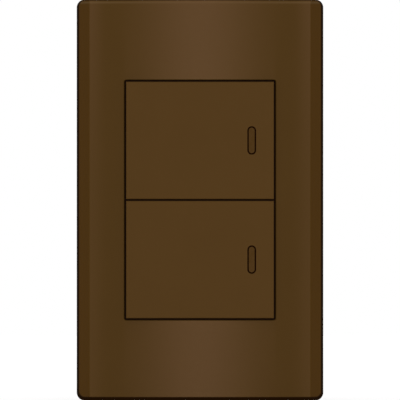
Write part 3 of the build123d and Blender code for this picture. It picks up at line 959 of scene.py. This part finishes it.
@dataclass
class ClampScrew:
    """A slotted pan-head screw, upright, with the underside of its head at the origin.

    Attributes:
        head_radius: Radius of the head.
        head_height: Height of the head.
        head_round: Round of the head's rim.
        head_steps: Steps in that round.
        slot_half: Half the width of the driver slot.
        slot_depth: Depth of the slot.
        core_radius: Radius of the shank at the root of its thread.
        thread_radius: Radius over the thread.
        thread_pitch: Rise of the thread in a turn.
        thread_turns: Turns that the thread's outline is swept.
        thread_start: Where the thread starts below the head.
        shank_length: Length below the head.
        tip_chamfer: Chamfer at the shank's end.
        sides: Sides of the round forms.
    """

    head_radius: float = 0.0027
    head_height: float = 0.0016
    head_round: float = 0.0007
    head_steps: int = 5
    slot_half: float = 0.0004
    slot_depth: float = 0.0008
    core_radius: float = 0.00125
    thread_radius: float = 0.0016
    thread_pitch: float = 0.0006
    thread_turns: int = 7
    thread_start: float = 0.0007
    shank_length: float = 0.0061
    tip_chamfer: float = 0.0004
    sides: int = 48

    def shape(self) -> BMesh:
        """Model the screw.

        Returns:
            The head, the threaded shank and its tip as one closed shape.
        """
        mesh = bmesh.new()
        neck = self.add_head(mesh)
        thread_top, thread_foot = self.add_thread(mesh)
        tip = self.add_tip(mesh)
        bmesh.ops.bridge_loops(mesh, edges=neck + thread_top)
        bmesh.ops.bridge_loops(mesh, edges=thread_foot + tip)
        return mesh

    def disc(self, mesh: BMesh, radius: float, height: float) -> BMFace:
        """Add a flat round face.

        Args:
            mesh: Where it is added.
            radius: Its radius.
            height: Its place along the screw.

        Returns:
            The face.
        """
        circle = bmesh.ops.create_circle(mesh, cap_ends=True, radius=radius, segments=self.sides)
        bmesh.ops.translate(mesh, verts=circle["verts"], vec=(0.0, 0.0, height))
        return circle["verts"][0].link_faces[0]

    def add_head(self, mesh: BMesh) -> list[BMEdge]:
        """Add the round head with its slot.

        Args:
            mesh: Where it is added, which is still empty.

        Returns:
            The edges of the round opening for the shank.
        """
        under = self.disc(mesh, self.head_radius, 0.0)
        top = extrude_up(mesh, under, self.head_height)
        bmesh.ops.bevel(
            mesh,
            geom=top.edges[:],
            offset=self.head_round,
            segments=self.head_steps,
            profile=ROUND_PROFILE,
            affect="EDGES",
            material=SAME_MATERIAL,
        )
        self.cut_slot(mesh)
        rim_width = self.head_radius - self.core_radius
        bmesh.ops.inset_region(mesh, faces=[under], thickness=rim_width, use_even_offset=True)
        neck = under.edges[:]
        bmesh.ops.delete(mesh, geom=[under], context="FACES_ONLY")
        return neck

    def cut_slot(self, mesh: BMesh) -> None:
        """Cut the driver slot across the head.

        Args:
            mesh: The closed head.
        """
        height = self.head_height - self.slot_depth
        floor = (0.0, 0.0, height)
        flanks = [(side.value * self.slot_half, 0.0, 0.0) for side in Side]
        split_faces(mesh, mesh.faces[:], floor, Z_AXIS)
        for flank in flanks:
            raised = [face for face in mesh.faces if face.calc_center_median().z > height]
            split_faces(mesh, raised, flank, X_AXIS)
        gone = []
        for face in mesh.faces:
            centre = face.calc_center_median()
            if abs(centre.x) < self.slot_half and centre.z > height:
                gone.append(face)
        bmesh.ops.delete(mesh, geom=gone, context="FACES")
        rim = [edge for edge in mesh.edges if edge.is_boundary]
        sole = [edge for edge in rim if all(on_plane(vert, floor, Z_AXIS) for vert in edge.verts)]
        for flank in flanks:
            wall = [edge for edge in rim if all(on_plane(vert, flank, X_AXIS) for vert in edge.verts)]
            verts = dict.fromkeys(vert for edge in wall for vert in edge.verts)
            foot = mesh.edges.new([vert for vert in verts if on_plane(vert, floor, Z_AXIS)])
            sole.append(foot)
            bmesh.ops.contextual_create(mesh, geom=[*wall, foot])
        bmesh.ops.contextual_create(mesh, geom=sole)

    def add_thread(self, mesh: BMesh) -> tuple[list[BMEdge], list[BMEdge]]:
        """Sweep the thread's outline round the shank and close its two ends.

        Args:
            mesh: The open head.

        Returns:
            The edges round the thread's top, and those round its foot.
        """
        half = self.thread_pitch / 2
        outline = (
            (self.core_radius, 0.0),
            (self.thread_radius, -half),
            (self.core_radius, -self.thread_pitch),
        )
        ridge = [mesh.verts.new((radius, 0.0, height - self.thread_start)) for radius, height in outline]
        edges = [mesh.edges.new(pair) for pair in zip(ridge, ridge[1:])]
        swept = bmesh.ops.spin(
            mesh,
            geom=[*ridge, *edges],
            axis=Z_AXIS,
            cent=ORIGIN,
            dvec=(0.0, 0.0, -self.thread_pitch / self.sides),
            angle=self.thread_turns * FULL_TURN,
            steps=self.thread_turns * self.sides,
        )
        mesh.faces.new(ridge)
        mesh.faces.new([item for item in swept["geom_last"] if isinstance(item, BMVert)])
        bmesh.ops.remove_doubles(mesh, verts=mesh.verts[:], dist=TOLERANCE)
        middle = -self.thread_start - (self.thread_turns + 1) * half
        rim = [edge for edge in mesh.edges if edge.is_boundary and edge.verts[0].co.z < -TOLERANCE]
        top = [edge for edge in rim if edge.verts[0].co.z > middle]
        foot = [edge for edge in rim if edge.verts[0].co.z < middle]
        return top, foot

    def add_tip(self, mesh: BMesh) -> list[BMEdge]:
        """Add the chamfered end of the shank.

        Args:
            mesh: The open head and thread.

        Returns:
            The edges of its open upper end.
        """
        base = self.disc(mesh, self.core_radius, self.tip_chamfer - self.shank_length)
        end = extrude_up(mesh, base, -self.tip_chamfer)
        ratio = 1.0 - self.tip_chamfer / self.core_radius
        bmesh.ops.scale(mesh, vec=(ratio, ratio, 1.0), verts=end.verts[:])
        rim = base.edges[:]
        bmesh.ops.delete(mesh, geom=[base], context="FACES_ONLY")
        return rim


@dataclass
class Contacts(SubAssembly):
    """The seesaw, its terminals and their clamp screws.

    Attributes:
        gang: The gang that it belongs to.
        screw: The form of both screws.
        slot_turn: How far each screw happens to be turned.
    """

    gang: Gang
    screw: ClampScrew = field(default_factory=ClampScrew)
    slot_turn: float = math.radians(37.7)

    def __post_init__(self) -> None:
        """Set the finish of the nodes that keep their form."""
        self.finishes = {
            self.gang.node("moving_contact"): CONTACT_BRASS,
            self.gang.node("moving_contact_tip"): CONTACT_SILVER,
            self.gang.node("common_terminal"): CONTACT_BRASS,
            self.gang.node("load_terminal"): CONTACT_BRASS,
            self.gang.node("fixed_contact_tip"): CONTACT_SILVER,
            self.gang.node("terminal_clamps"): ZINC_PLATE,
        }

    def build(self) -> None:
        """Make the pair of threaded pan-head screws that replaces the plain ones."""
        node = self.gang.node("terminal_screws")
        mesh = self.screw.shape()
        first = mesh.verts[:]
        copied = bmesh.ops.duplicate(mesh, geom=mesh.verts[:] + mesh.edges[:] + mesh.faces[:])["geom"]
        second = [item for item in copied if isinstance(item, BMVert)]
        for side, verts in zip(Side, (first, second)):
            bmesh.ops.transform(mesh, matrix=self.seat(node, side), verts=verts)
        pair = finished_object(self.gang.node("clamp_screws"), mesh, ZINC_PLATE)
        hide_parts(node)
        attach(pair, "base")
        LOG.info("%s replaces %s", pair.name, node)

    def seat(self, node: str, side: Side) -> Matrix:
        """Lay an upright screw on its side, with the top of its head at one end of the plain pair.

        Args:
            node: Name of the plain pair.
            side: Which of the two screws.

        Returns:
            The move from upright to its place.
        """
        low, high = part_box(node)
        middle = (low + high) / 2
        reach = (high.x - low.x) / 2 - self.screw.head_height
        place = Matrix.Translation((middle.x + side.value * reach, middle.y, middle.z))
        lay = Matrix.Rotation(side.value * QUARTER_TURN, MATRIX_SIZE, Axis.Y.value)
        turn = Matrix.Rotation(side.value * self.slot_turn, MATRIX_SIZE, Axis.Z.value)
        return place @ lay @ turn


@dataclass(frozen=True)
class Softbox:
    """A soft lamp that faces the object.

    Attributes:
        name: Name of the lamp.
        size: Its width and height.
        place: Where it hangs.
        power: Its power in watts.
    """

    name: str
    size: Span
    place: Point
    power: float

    def hang(self, scene: bpy.types.Scene) -> None:
        """Add the lamp, out of the camera's sight.

        Args:
            scene: The scene that it belongs to.
        """
        lamp = bpy.data.lights.new(self.name, "AREA")
        lamp.shape = "RECTANGLE"
        lamp.size, lamp.size_y = self.size
        lamp.energy = self.power
        holder = bpy.data.objects.new(self.name, lamp)
        holder.location = self.place
        holder.rotation_euler = (-Vector(self.place)).to_track_quat("-Z", "Y").to_euler()
        holder.visible_camera = False
        scene.collection.objects.link(holder)


FRONT_SOFTBOX = Softbox(
    name="front_softbox",
    size=(0.95, 0.36),
    place=(0.0, -8.0, 0.12),
    power=318.0,
)
TOP_SOFTBOX = Softbox(
    name="top_softbox",
    size=(1.2, 0.8),
    place=(0.0, -0.9, 2.0),
    power=8.0,
)
BACK_SOFTBOX = Softbox(
    name="back_softbox",
    size=(1.6, 1.2),
    place=(0.0, 3.2, 1.6),
    power=55.0,
)


@dataclass
class Studio:
    """The floor, the light and the camera.

    Attributes:
        floor_radius: Radius of the floor.
        floor_sides: Sides of the floor's outline.
        floor_drop: Room under the object.
        floor_shade: Colour of the floor.
        floor_glow: How far the floor is lifted to the white of the background.
        floor_white: Strength of that white.
        dome: Strength of the soft light from all round.
        softboxes: The lamps in front, above and behind.
        lens: Focal length of the camera in millimetres.
        sensor: Width of its sensor in millimetres.
        camera_place: Place of the camera.
    """

    floor_radius: float = 1.6
    floor_sides: int = 96
    floor_drop: float = 0.0002
    floor_shade: Colour = (0.9, 0.9, 0.9)
    floor_glow: float = 0.62
    floor_white: float = 1.2
    dome: float = 0.45
    softboxes: tuple[Softbox, ...] = (FRONT_SOFTBOX, TOP_SOFTBOX, BACK_SOFTBOX)
    lens: float = 1000.0
    sensor: float = 36.0
    camera_place: Point = (0.0, -3.3283, 0.0)

    def build(self) -> None:
        """Set up everything round the object."""
        scene = bpy.context.scene
        scene.view_settings.view_transform = "Standard"
        self.build_world(scene)
        self.build_floor()
        for softbox in self.softboxes:
            softbox.hang(scene)
        self.build_camera(scene)
        LOG.info("studio: floor, dome, %d softboxes and camera", len(self.softboxes))

    def build_world(self, scene: bpy.types.Scene) -> None:
        """Light the object softly from all round, in front of a white background.

        Args:
            scene: The scene to light.
        """
        world = bpy.data.worlds.new("soft_dome")
        world.use_nodes = True
        graph = Graph(world.node_tree)
        glow = world.node_tree.nodes["Background"]
        glow.inputs["Color"].default_value = (*WHITE, OPAQUE)
        strength = graph.spread(graph.seen_directly(), UNIT, (self.dome, 1.0))
        graph.link(strength, glow.inputs["Strength"])
        scene.world = world

    def build_floor(self) -> None:
        """Lay the pale floor just under the object."""
        low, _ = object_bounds()
        mesh = bmesh.new()
        bmesh.ops.create_circle(mesh, cap_ends=True, radius=self.floor_radius, segments=self.floor_sides)
        bmesh.ops.translate(mesh, verts=mesh.verts[:], vec=(0.0, 0.0, low.z - self.floor_drop))
        floor = linked_object("floor", mesh, self.floor_material())
        floor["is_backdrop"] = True

    def floor_material(self) -> bpy.types.Material:
        """Pale floor that shows the background's white and still takes a shadow.

        Returns:
            The floor's material.
        """
        made = bpy.data.materials.new("floor_pale")
        made.use_nodes = True
        graph = Graph(made.node_tree)
        made.node_tree.nodes.remove(made.node_tree.nodes["Principled BSDF"])
        matt = graph.node("ShaderNodeBsdfDiffuse")
        matt.inputs["Color"].default_value = (*self.floor_shade, OPAQUE)
        glow = graph.node("ShaderNodeEmission")
        glow.inputs["Strength"].default_value = self.floor_white
        mixed = graph.node("ShaderNodeMixShader")
        share = graph.spread(graph.seen_directly(), UNIT, (0.0, self.floor_glow))
        graph.link(share, mixed.inputs[0])
        graph.link(matt.outputs[0], mixed.inputs[1])
        graph.link(glow.outputs[0], mixed.inputs[2])
        graph.link(mixed.outputs[0], made.node_tree.nodes["Material Output"].inputs["Surface"])
        return made

    def build_camera(self, scene: bpy.types.Scene) -> None:
        """Set the camera square to the plate's face, from far away.

        Args:
            scene: The scene that it belongs to.
        """
        data = bpy.data.cameras.new("front_view")
        data.lens = self.lens
        data.sensor_width = self.sensor
        camera = bpy.data.objects.new("front_view", data)
        camera.location = self.camera_place
        camera.rotation_euler = (QUARTER_TURN, 0.0, 0.0)
        scene.collection.objects.link(camera)
        scene.camera = camera


def plunger_travel(joints: list[dict], gang: Gang) -> float:
    """Find how far a gang's plunger can be pushed in, in metres."""
    slide = next(joint for joint in joints if joint["name"] == gang.node("plunger_slide"))
    return slide["range_m"][1]


def main() -> None:
    """Dress the model, add its finer pieces and set up the studio."""
    logging.basicConfig(level=logging.INFO, format="%(message)s")
    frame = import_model()
    parts: list[SubAssembly] = [Cover()]
    for gang in Gang:
        travel = plunger_travel(frame["joints"], gang)
        parts += [Rocker(gang, travel), SwitchCase(gang), Contacts(gang)]
    for part in parts:
        part.dress(frame["nodes"])
        part.build()
    Studio().build()


if __name__ == "__main__":
    main()
